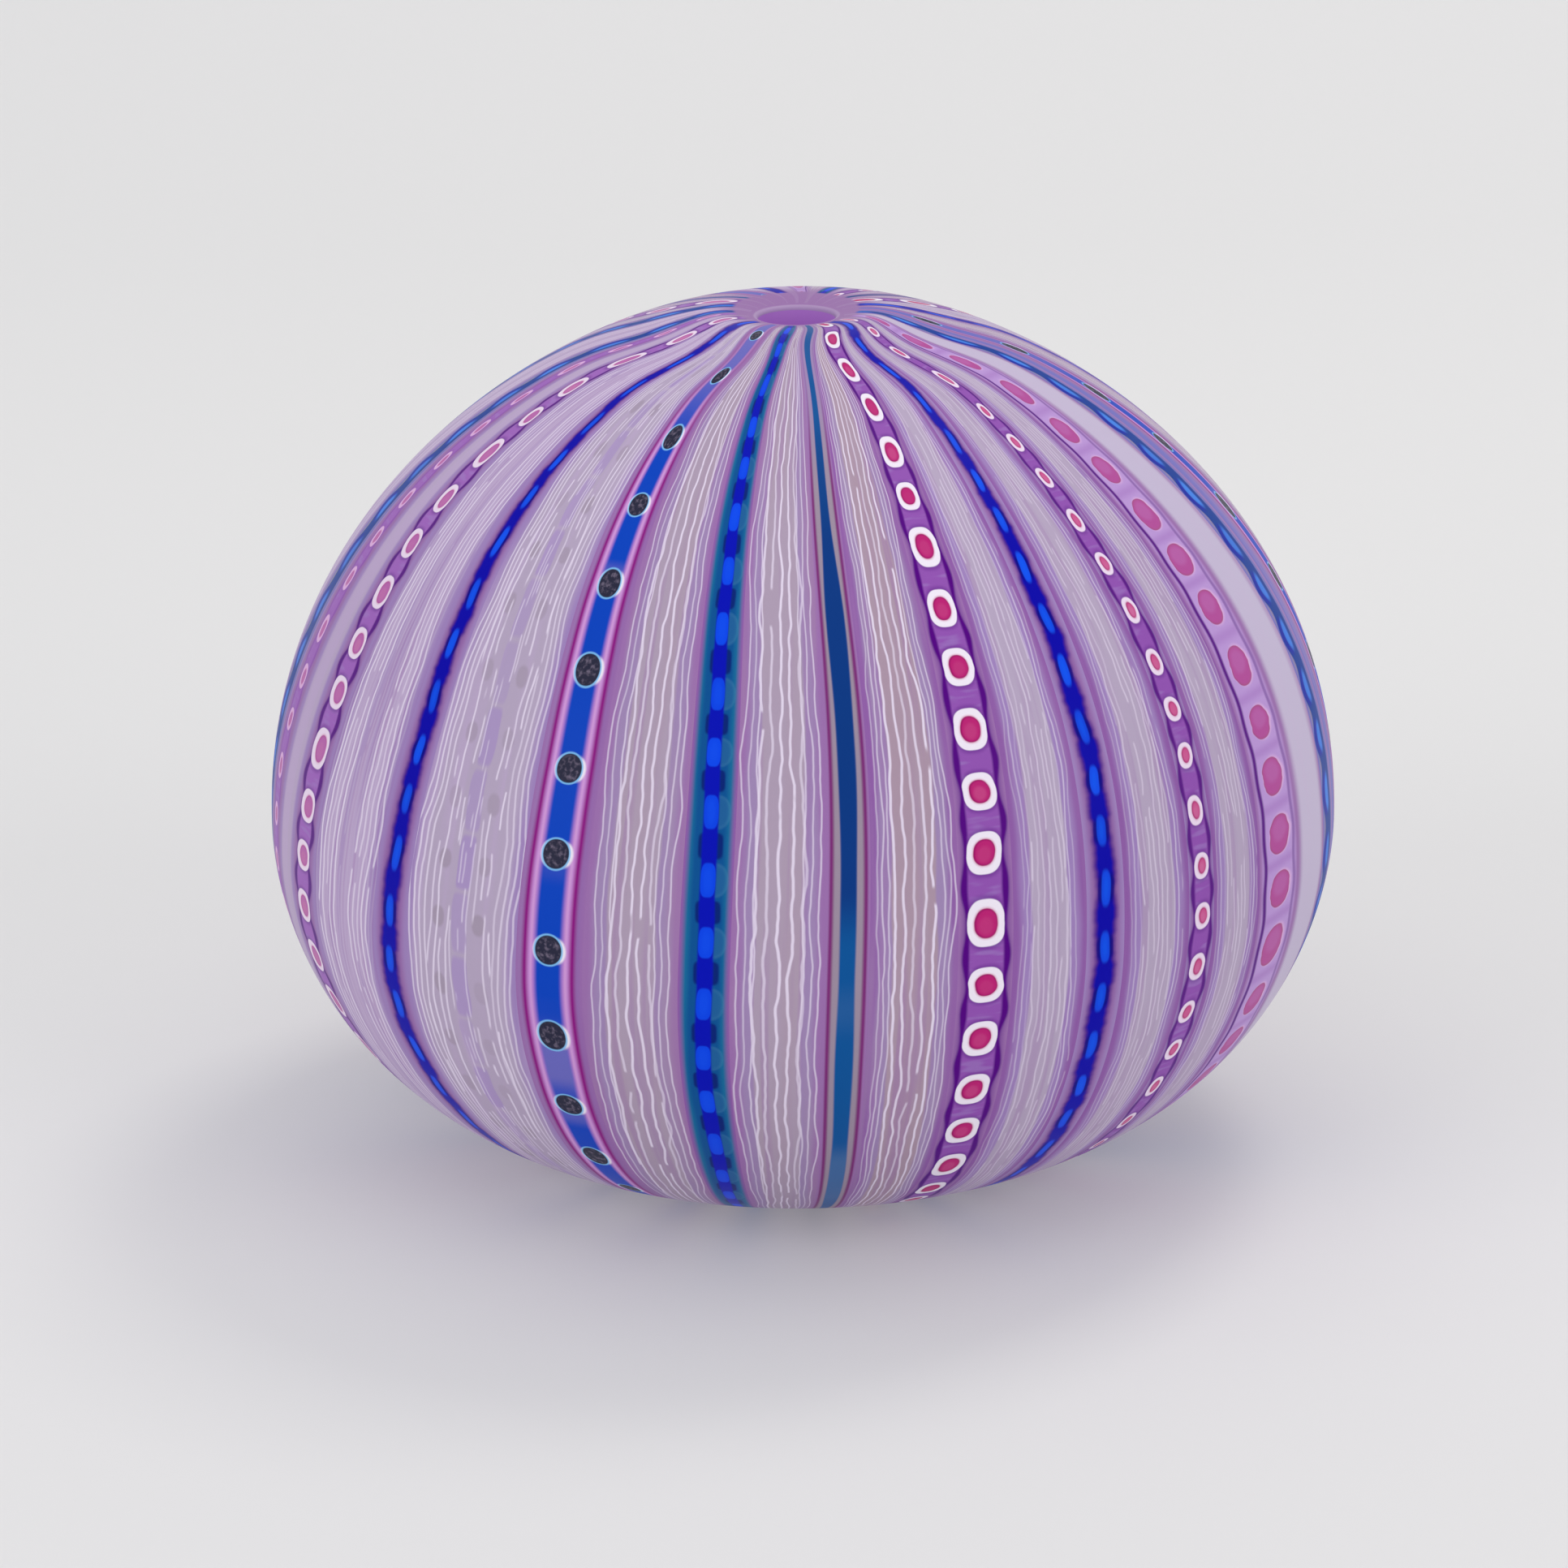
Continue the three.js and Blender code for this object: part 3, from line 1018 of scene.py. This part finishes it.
def slate_dot_glass(colours):
    """Speckled slate dots in a blue stripe, each with a thin sky-blue ring and a white crescent beside it
    that is a painted highlight; pink margins and a magenta thread close the stripe."""
    glass = Glass("fused_slate_dot_cane", colours)
    glass.base("orchid", "lavender", 0.4)
    number, offset = glass.cells(glass.v, 9.9)
    moved = glass.add("Math", glass.u, glass.waver(20.0, 0.12, 61.5), operation="ADD")
    haze = glass.ramp(glass.add("Math", moved, 3.2, operation="SUBTRACT"), 1.2, 0.0)
    glass.lay("purple", glass.times(haze, glass.ramp(moved, 2.0, 3.0), 0.6))
    glass.lay("magenta", glass.band(moved, 3.1, 0.7))
    glass.lay("pink_lilac", glass.band(moved, 2.5, 0.7))
    paler = glass.add("Math", moved, operation="ABSOLUTE")
    paler = glass.add("Math", paler, 2.05, operation="SUBTRACT")
    glass.lay("pink_milk_and_highlight", glass.times(glass.band(paler, 0.1, 0.4), 0.5))
    glass.lay("orchid", glass.ramp(glass.v, 36.0, 16.0, 0.0, 0.75))
    blue = glass.band(moved, 1.6, 0.8)
    glass.lay("royal_blue", blue)
    drift = glass.noise(glass.add("Math", glass.v, 1 / 13, operation="MULTIPLY"), 63.5)
    glass.lay("iris", glass.times(blue, glass.ramp(drift, 0.58, 0.72, 0.0, 0.85)))
    glass.lay("iris", glass.times(blue, glass.ramp(glass.v, 32.0, 16.0, 0.0, 0.85)))
    grown = glass.drawn(number, 19.0, 0.95, 1.05)
    x, y = (glass.add("Math", value, grown, operation="DIVIDE") for value in (moved, offset))
    # Painted highlight: white laid a little right of each dot, which shows as a crescent beside its ring.
    beside = glass.add("Math", x, 0.12, operation="SUBTRACT")
    level = glass.ramp(glass.add("Math", y, operation="ABSOLUTE"), 1.7, 0.9)
    glass.lay("milk_and_highlight", glass.times(glass.blob(beside, y, 2.0, 1.95, 2.0, 0.35), level))
    glass.lay("ring_blue", glass.times(glass.blob(x, y, 1.8, 1.85, 2.1, 0.18), 0.9))
    glass.lay("slate", glass.blob(x, y, 1.6, 1.65, 2.1, 0.15))
    spread = glass.add("CombineXYZ", glass.u, glass.v)
    speck = glass.add("TexNoise", at={"Vector": spread, "Scale": 1.7, "Detail": 3})
    grey = glass.times(glass.blob(x, y, 1.4, 1.45, 2.1, 0.5), glass.ramp(speck, 0.45, 0.75), 0.32)
    glass.lay("dove", grey)
    return glass.finish(STRIPE_FADE)


def collar_glass(colours):
    """Plain mauve glass, paler in front of the gather, with a painted highlight all round the
    fire-polished lip.
    """
    glass = Glass("fire_polished_mauve_glass", colours)
    glass.colour = glass.paint("collar")
    place = glass.add("TexCoord", out="Object")
    gather = glass.from_axis(place, GATHER_BEHIND)
    glass.lay("lavender", glass.times(glass.ramp(gather, 6.8 * MM, 8 * MM), 0.4))
    # Painted highlight: a pale ring of mist laid round the lip, where light would catch it.
    lip = glass.ramp(glass.from_axis(place, 0.0), MOUTH_RADIUS + 0.6 * MM, MOUTH_RADIUS + 0.3 * MM)
    glass.lay("mist_and_lip_highlight", glass.times(lip, 0.4))
    return glass.finish()


def button_glass(colours):
    """Plain lilac glass with a faint cloud in it, under the foot."""
    glass = Glass("ground_lilac_glass", colours)
    place = glass.add("TexCoord", out="Object")
    cloud = glass.add("TexNoise", at={"Vector": place, "Scale": INNER_CLOUD_SCALE, "Detail": 3})
    glass.colour = glass.mixed("orchid", "lavender", glass.ramp(cloud, 0.4, 0.7, 0.0, 0.6))
    return glass.finish()


def inside_glass(colours):
    """Violet glass round the hollow. Daylight comes through the wall and lights it, which a small glow
    stands for. It is made once and shared."""
    name = "blown_violet_inside_glass"
    found = bpy.data.materials.get(name)
    if found:
        return found
    glass = Glass(name, colours)
    place = glass.add("TexCoord", out="Object")
    cloud = glass.add("TexNoise", at={"Vector": place, "Scale": INNER_CLOUD_SCALE, "Detail": 3})
    shader = glass.add(
        "BsdfPrincipled",
        at={
            "Base Color": glass.mixed("inside", "orchid", glass.ramp(cloud, 0.4, 0.7, 0.0, 0.5)),
            "Roughness": glass.add("MapRange", at={0: cloud, 1: 0.3, 2: 0.7, 3: 0.34, 4: 0.46}),
            "IOR": GLASS_IOR,
            "Emission Color": glass.paint("inside"),
            "Emission Strength": 0.42,
        },
    )
    glass.add("OutputMaterial", shader, whole=True)
    return glass.material


GLASSES = {
    "mauve_lines": mauve_lines_glass,
    "rose_lines": rose_lines_glass,
    "soft_lines": soft_lines_glass,
    "fine_lines": fine_lines_glass,
    "dashes": dashes_glass,
    "pale": pale_glass,
    "milky": milky_glass,
    "violet": violet_glass,
    "cobalt_bead": cobalt_bead_glass,
    "teal_bead": teal_bead_glass,
    "sea_bead": sea_bead_glass,
    "azure": azure_glass,
    "red_dot": red_dot_glass,
    "pink_dot": pink_dot_glass,
    "small_dot": small_dot_glass,
    "deep_dot": deep_dot_glass,
    "lilac_dot": lilac_dot_glass,
    "slate_dot": slate_dot_glass,
}


def build_canes(context, kinds):
    """Build every cane of the given kinds, each with its own glass outside and the violet inside."""
    sizes, colours = context.scene.vessel_sizes, context.scene.vessel_colours
    made = {kind: GLASSES[kind](colours) for kind in kinds}
    for number, cane in enumerate(CANES):
        if cane.kind in made:
            name = f"cane_{number + 1:02d}_{cane.kind}"
            solid = cane_solid(cane, number, sizes)
            place_piece(name, write_mesh(name, solid, [made[cane.kind], inside_glass(colours)]))


def build_ring(context, name, glass, section, outer_count):
    """Build a piece that goes round the axis, with its own glass outside and the violet inside."""
    sizes, colours = context.scene.vessel_sizes, context.scene.vessel_colours
    glasses = [glass(colours), inside_glass(colours)]
    place_piece(name, write_ring(name, section, sizes.around, glasses, outer_count))


# ---------------------------------------------------------------- properties


class VesselSizes(bpy.types.PropertyGroup):
    """Sizes that a user may change."""

    collar_radius: FloatProperty(
        name="Collar radius", description="Where the canes end round the mouth",
        default=5.3 * MM, min=5.2 * MM, max=12 * MM, unit="LENGTH", precision=4)
    button_radius: FloatProperty(
        name="Button radius", description="Where the canes end under the foot",
        default=6 * MM, min=3 * MM, max=15 * MM, unit="LENGTH", precision=4)
    facet: FloatProperty(
        name="Facet", description="Width of a face across a cane at the widest part",
        default=0.7 * MM, min=0.3 * MM, max=3 * MM, unit="LENGTH", precision=4)
    rows: IntProperty(
        name="Rows", description="Faces along a cane from the collar to the button",
        default=264, min=60, max=600)
    around: IntProperty(
        name="Around", description="Faces round the collar and the button",
        default=144, min=48, max=360)


def colour_property(name, description, value):
    """A colour property whose default is an sRGB hex value."""
    return FloatVectorProperty(
        name=name, description=description, subtype="COLOR", size=3, min=0, max=1, default=linear(value))


class VesselColours(bpy.types.PropertyGroup):
    """The colours of the glass."""

    greige: colour_property("Greige", "Middle of the threaded bands", "#AE9CB2")
    rose_grey: colour_property("Rose grey", "Pinkish middle of some bands", "#AC94A6")
    dove: colour_property("Dove", "Middle of the pale threaded bands", "#B6A6C0")
    lavender: colour_property("Lavender", "Soft streaks", "#A084BC")
    heather: colour_property("Heather", "Strips beside the grey panels", "#A088B4")
    opal: colour_property("Opal", "Plain pale bands", "#C6BAD4")
    orchid: colour_property("Orchid", "Edges of the bands", "#9C70AC")
    purple: colour_property("Purple", "Edges of the threaded bands", "#905EA6")
    bloom: colour_property("Bloom", "Lilac bands", "#BEA8CC")
    thread: colour_property("Thread", "White threads", "#E6DAEE")
    # Also laid round the lip of the collar as a painted highlight.
    mist_and_lip_highlight: colour_property("Mist", "Threads deep in the glass", "#C8B8D4")
    lilac: colour_property("Lilac", "Lilac marks", "#A286C6")
    light_lilac: colour_property("Light lilac", "Wide lilac stripe", "#BC98D6")
    ash: colour_property("Ash", "Dull spots and grey margins", "#9C8E9E")
    iris: colour_property("Iris", "Violet-blue glass", "#7470BE")
    violet: colour_property("Violet", "Fill of the dotted stripes", "#9254B0")
    pale_violet: colour_property("Pale violet", "Fill of the pink-dot stripe", "#A066BC")
    grape: colour_property("Grape", "Thin dark edges", "#5C1C84")
    deep_purple: colour_property("Deep purple", "Scalloped edges", "#540080")
    plum: colour_property("Plum", "Plum threads", "#740068")
    magenta: colour_property("Magenta", "Magenta threads", "#8A007C")
    pink_lilac: colour_property("Pink lilac", "Margins of the slate-dot stripe", "#C68AD2")
    plum_blue: colour_property("Plum blue", "Blurred edge of the cobalt stripe", "#42108C")
    cobalt: colour_property("Cobalt", "Dark blue", "#0804A8")
    navy: colour_property("Navy", "Darkest of the cobalt stripe", "#04047C")
    night: colour_property("Night", "Dark patches between the beads", "#04086C")
    ultramarine: colour_property("Ultramarine", "Column of the teal stripe", "#0410B4")
    bead_blue: colour_property("Bead blue", "Beads of the teal stripe", "#0848EC")
    bright_blue: colour_property("Bright blue", "Beads of the cobalt stripe", "#1050EE")
    sky_blue: colour_property("Sky blue", "Brightest spot of a bead", "#0860F4")
    teal: colour_property("Teal", "Clear glass beside the beads", "#186C9A")
    pale_teal: colour_property("Pale teal", "Rings beside the beads", "#5090B4")
    deep_teal: colour_property("Deep teal", "Nearer the beads", "#0A5292")
    sea_blue: colour_property("Sea blue", "Wavy stripe", "#043C96")
    # A painted highlight on the beads of the wavy stripe.
    bead_highlight_blue: colour_property("Pale blue", "Beads of the wavy stripe", "#4084E8")
    azure: colour_property("Azure", "Plain blue stripe", "#0C5498")
    midnight: colour_property("Midnight", "Where the plain stripe is darkest", "#0A307C")
    steel_blue: colour_property("Steel blue", "Where the plain stripe is palest", "#4870A4")
    royal_blue: colour_property("Royal blue", "Blue of the slate-dot stripe", "#0844BE")
    ring_blue: colour_property("Ring blue", "Rings of the slate dots", "#80C0F0")
    slate: colour_property("Slate", "Slate dots", "#2C2C40")
    # Also the painted highlight beside each slate dot.
    milk_and_highlight: colour_property("Milk", "White rings", "#F2EAF6")
    rose_milk: colour_property("Rose milk", "Rings of the smaller dots", "#EEDCF0")
    # On the rose dots it is partly a painted highlight, to the right of each dot.
    pink_milk_and_highlight: colour_property("Pink milk", "Pale rings of the rose dots", "#E0B2E0")
    crimson: colour_property("Crimson", "Cores of the red dots", "#BC2474")
    pink: colour_property("Pink", "Light in the cores", "#CC548E")
    wine: colour_property("Wine", "Rims of the cores", "#9C1064")
    rose: colour_property("Rose", "Rose cores", "#B4509A")
    mauve_rose: colour_property("Mauve rose", "Paler part of the rose dots", "#BA68AE")
    pale_rose: colour_property("Pale rose", "Light in the pink cores", "#D080AC")
    collar: colour_property("Collar", "Plain glass round the mouth", "#9A72AA")
    inside: colour_property("Inside", "Glass round the hollow", "#8C58A6")
    floor: colour_property("Floor", "Floor and backdrop", "#D1D0CF")


# ---------------------------------------------------------------- operators


class VESSEL_OT_threaded_bands(bpy.types.Operator):
    """Build the bands of glass with white threads"""

    bl_idname = "vessel.threaded_bands"
    bl_label = "Threaded bands"

    def execute(self, context):
        build_canes(context, ["mauve_lines", "rose_lines", "soft_lines", "fine_lines", "dashes"])
        return {"FINISHED"}


class VESSEL_OT_plain_bands(bpy.types.Operator):
    """Build the plain bands and the plain blue stripes"""

    bl_idname = "vessel.plain_bands"
    bl_label = "Plain bands"

    def execute(self, context):
        build_canes(context, ["pale", "milky", "violet", "azure"])
        return {"FINISHED"}


class VESSEL_OT_beaded_canes(bpy.types.Operator):
    """Build the blue stripes with beads"""

    bl_idname = "vessel.beaded_canes"
    bl_label = "Beaded canes"

    def execute(self, context):
        build_canes(context, ["cobalt_bead", "teal_bead", "sea_bead"])
        return {"FINISHED"}


class VESSEL_OT_dotted_canes(bpy.types.Operator):
    """Build the stripes with dots"""

    bl_idname = "vessel.dotted_canes"
    bl_label = "Dotted canes"

    def execute(self, context):
        build_canes(context, ["red_dot", "pink_dot", "small_dot", "deep_dot", "lilac_dot", "slate_dot"])
        return {"FINISHED"}


class VESSEL_OT_collar(bpy.types.Operator):
    """Build the plain collar with the lip and the mouth"""

    bl_idname = "vessel.collar"
    bl_label = "Collar"

    def execute(self, context):
        section, outer_count = collar_section(context.scene.vessel_sizes.collar_radius)
        build_ring(context, "collar", collar_glass, section, outer_count)
        return {"FINISHED"}


class VESSEL_OT_button(bpy.types.Operator):
    """Build the button of glass that closes the foot"""

    bl_idname = "vessel.button"
    bl_label = "Button"

    def execute(self, context):
        section, outer_count = button_section(context.scene.vessel_sizes.button_radius)
        build_ring(context, "button", button_glass, section, outer_count)
        return {"FINISHED"}


class VESSEL_OT_stage(bpy.types.Operator):
    """Set up the floor, the light and the camera"""

    bl_idname = "vessel.stage"
    bl_label = "Stage"

    def execute(self, context):
        build_floor(context)
        build_light(context)
        build_camera(context)
        return {"FINISHED"}


class VESSEL_PT_panel(bpy.types.Panel):
    """Buttons for each step"""

    bl_label = "Cane glass vessel"
    bl_idname = "VESSEL_PT_panel"
    bl_space_type = "VIEW_3D"
    bl_region_type = "UI"
    bl_category = "Vessel"

    def draw(self, context):
        for step in STEPS:
            self.layout.operator(step.bl_idname)
        for group in (context.scene.vessel_sizes, context.scene.vessel_colours):
            for name in group.bl_rna.properties.keys():
                if name not in ("rna_type", "name"):
                    self.layout.prop(group, name)


STEPS = [
    VESSEL_OT_stage,
    VESSEL_OT_threaded_bands,
    VESSEL_OT_plain_bands,
    VESSEL_OT_beaded_canes,
    VESSEL_OT_dotted_canes,
    VESSEL_OT_collar,
    VESSEL_OT_button,
]
CLASSES = [VesselSizes, VesselColours, *STEPS, VESSEL_PT_panel]


# ---------------------------------------------------------------- stage


FLOOR_WIDTH = 6.0
FLOOR_FRONT = -2.5
BEND_START = 0.45
BEND_RADIUS = 0.6
WALL_TOP = 3.0
VIEW_ELEVATION = math.radians(18.4)
VIEW_DISTANCE = 10.73 * RADIUS
VIEW_ASIDE = -0.0356 * RADIUS
VIEW_UP = 0.0396 * RADIUS
VIEW_ROLL = math.radians(0.8)
LENS = 130.3
SENSOR_WIDTH = 36
FLOOR_GLOW = (0.92, 0.94, 0.97, 1)
FLOOR_GLOW_STRENGTH = 0.17
DAYLIGHT = (0.94, 0.95, 1.0, 1)
DAYLIGHT_STRENGTH = 0.52


class Lamp(NamedTuple):
    """A soft square light: where it stands, its side in metres, its power in watts, and its colour."""

    name: str
    place: tuple
    side: float
    power: float
    colour: tuple


LAMPS = [
    Lamp("window", (0.35, 0.4, 1.0), 0.35, 2.4, (1.0, 0.97, 0.92)),
    Lamp("overhead", (-0.1, -0.1, 1.2), 1.5, 2.6, (1.0, 0.99, 0.97)),
    Lamp("front_left", (-1.1, -0.95, 0.6), 1.0, 6.2, (1.0, 1.0, 1.0)),
    Lamp("front_right", (1.1, -0.95, 0.6), 1.0, 6.2, (1.0, 0.99, 0.98)),
]


def build_floor(context):
    """A floor that bends up into a backdrop: flat, then a quarter circle, then straight up. It glows a
    little, which keeps the shadow pale."""
    angles = np.linspace(-math.pi / 2, 0, 25)
    bend_y = BEND_START + BEND_RADIUS * np.cos(angles)
    bend_z = BEND_RADIUS * (1 + np.sin(angles))
    y = np.concatenate([[FLOOR_FRONT], bend_y, bend_y[-1:]])
    z = np.concatenate([[0], bend_z, [WALL_TOP]])
    x = np.array([-FLOOR_WIDTH / 2, FLOOR_WIDTH / 2])
    points = np.stack(np.broadcast_arrays(x[None, :], y[:, None], z[:, None]), axis=-1)
    grid = np.arange(2 * len(y)).reshape(-1, 2)
    mesh = bpy.data.meshes.new("floor")
    mesh.from_pydata(points.reshape(-1, 3), [], quads(grid, flip=True))
    mesh.shade_smooth()
    material = bpy.data.materials.new("matt_paper")
    material.use_nodes = True
    shader = material.node_tree.nodes["Principled BSDF"]
    shader.inputs["Base Color"].default_value = (*context.scene.vessel_colours.floor, 1)
    shader.inputs["Roughness"].default_value = 0.9
    shader.inputs["Emission Color"].default_value = FLOOR_GLOW
    shader.inputs["Emission Strength"].default_value = FLOOR_GLOW_STRENGTH
    mesh.materials.append(material)
    floor = bpy.data.objects.new("floor", mesh)
    context.scene.collection.objects.link(floor)


def add_lamp(context, lamp):
    """Put a lamp in its place, turned towards the middle of the vessel."""
    light = bpy.data.lights.new(lamp.name, "AREA")
    light.size = lamp.side
    light.energy = lamp.power
    light.color = lamp.colour
    stand = bpy.data.objects.new(lamp.name, light)
    stand.location = lamp.place
    ahead = Vector((0, 0, WIDEST_LEVEL)) - Vector(lamp.place)
    stand.rotation_euler = ahead.to_track_quat("-Z", "Y").to_euler()
    context.scene.collection.objects.link(stand)


def build_light(context):
    """Even daylight from all sides, a small window high behind on the right, whose shadow falls to the
    front left, a wide soft light overhead, and two in front that reach under the wall."""
    world = bpy.data.worlds.new("daylight")
    world.use_nodes = True
    background = world.node_tree.nodes["Background"]
    background.inputs["Color"].default_value = DAYLIGHT
    background.inputs["Strength"].default_value = DAYLIGHT_STRENGTH
    context.scene.world = world
    for lamp in LAMPS:
        add_lamp(context, lamp)
    context.scene.view_settings.view_transform = "Standard"


def build_camera(context):
    """Look down on the front from the viewing angle, with the vessel a little right of and below
    the middle of the frame, and the camera tipped a little clockwise."""
    back = Vector((0, -math.cos(VIEW_ELEVATION), math.sin(VIEW_ELEVATION)))
    level = Vector((1, 0, 0))
    right = Matrix.Rotation(VIEW_ROLL, 3, -back) @ level
    up = back.cross(right)
    lens = bpy.data.cameras.new("camera")
    lens.lens = LENS
    lens.sensor_width = SENSOR_WIDTH
    lens.clip_start = 0.01
    camera = bpy.data.objects.new("camera", lens)
    place = Vector((0, 0, WIDEST_LEVEL)) + VIEW_ASIDE * right + VIEW_UP * up + VIEW_DISTANCE * back
    turn = Matrix((right, up, back)).transposed()
    camera.matrix_world = Matrix.Translation(place) @ turn.to_4x4()
    context.scene.collection.objects.link(camera)
    context.scene.camera = camera


# ---------------------------------------------------------------- registration


def register():
    """Register the classes and hang the properties on the scene."""
    for item in CLASSES:
        bpy.utils.register_class(item)
    bpy.types.Scene.vessel_sizes = PointerProperty(type=VesselSizes)
    bpy.types.Scene.vessel_colours = PointerProperty(type=VesselColours)


def unregister():
    """Undo register."""
    del bpy.types.Scene.vessel_colours
    del bpy.types.Scene.vessel_sizes
    for item in reversed(CLASSES):
        bpy.utils.unregister_class(item)


def main():
    register()
    for step in STEPS:
        group, name = step.bl_idname.split(".")
        getattr(getattr(bpy.ops, group), name)()


if __name__ == "__main__":
    main()
